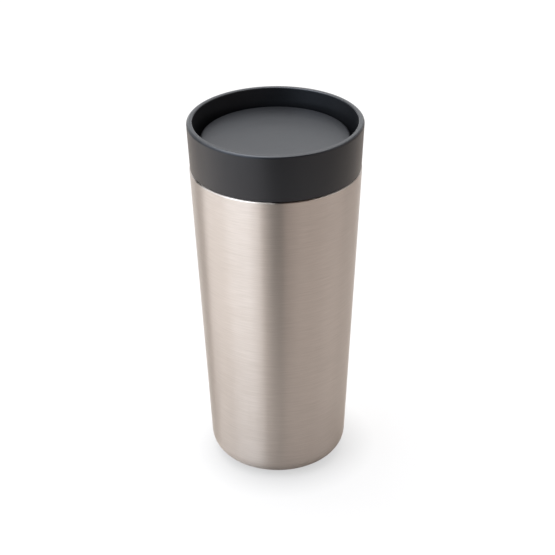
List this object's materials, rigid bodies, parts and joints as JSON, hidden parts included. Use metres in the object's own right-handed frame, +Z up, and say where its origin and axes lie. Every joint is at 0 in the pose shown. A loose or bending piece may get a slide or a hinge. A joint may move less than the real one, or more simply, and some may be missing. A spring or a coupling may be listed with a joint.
{
  "type": "insulated travel mug",
  "caption": "Tapered brushed-steel travel mug with a grey plastic lid collar and a recessed round press disc that opens it for drinking all the way round.",
  "frame": {"origin": "Middle of the underside of the foot pad, which is the face the mug stands on.", "axes": "+Z is up along the mug's axis; -Y faces the viewer of the picture; the outside is round, so X and Y are otherwise free."},
  "size_m": [0.0812, 0.0812, 0.1764],
  "materials": {
    "brushed_steel": "brushed round the body",
    "bright_steel": "electropolished",
    "copper_foil": "bright foil",
    "getter_alloy": "sintered",
    "solder_glass": "glossy",
    "grey_plastic": "fine matte texture",
    "black_plastic": "satin",
    "white_acetal": "satin",
    "silicone": "soft matte"
  },
  "bodies": {
    "cup": {"outer_shell": "brushed_steel", "inner_liner": "bright_steel", "bottom_plate": "bright_steel", "port_seal": "solder_glass", "getter": "getter_alloy", "foil_wrap": "copper_foil", "foot_pad": "silicone"},
    "seal": {"neck_seal": "silicone"},
    "lid": {"collar": "grey_plastic", "lid_core": "black_plastic", "valve_cage": "black_plastic", "guide_sleeve": "white_acetal", "stem_seal": "silicone", "return_spring": "bright_steel"},
    "button": {"press_disc": "grey_plastic", "plunger": "white_acetal", "stem": "bright_steel", "spring_washer": "bright_steel", "valve_plate": "black_plastic", "valve_gasket": "silicone", "valve_nut": "black_plastic"},
    "rotor": {"click_rotor": "white_acetal"}
  },
  "joints": [
    {"name": "lid_lift", "type": "slide", "parent": "cup", "child": "seal", "axis": [0, 0, 1], "range_m": [0, 0.036]},
    {"name": "lid_turn", "type": "hinge", "parent": "seal", "child": "lid", "pos_m": [0, 0, 0.1541], "axis": [0, 0, 1], "range_deg": [0, 1080]},
    {"name": "button_press", "type": "slide", "parent": "lid", "child": "button", "axis": [0, 0, 1], "range_m": [-0.005, 0], "stiffness_N_per_m": 900, "springref_m": 0.004, "deforming": ["return_spring"]},
    {"name": "rotor_index", "type": "hinge", "parent": "button", "child": "rotor", "pos_m": [0, 0, 0.1516], "axis": [0, 0, 1], "range_deg": [0, 22.5]}
  ],
  "couplings": [
    {"joint": "lid_lift", "follows": "lid_turn", "m_per_rad": 0.0019098},
    {"joint": "rotor_index", "follows": "button_press", "rad_per_m": -78.53}
  ]
}
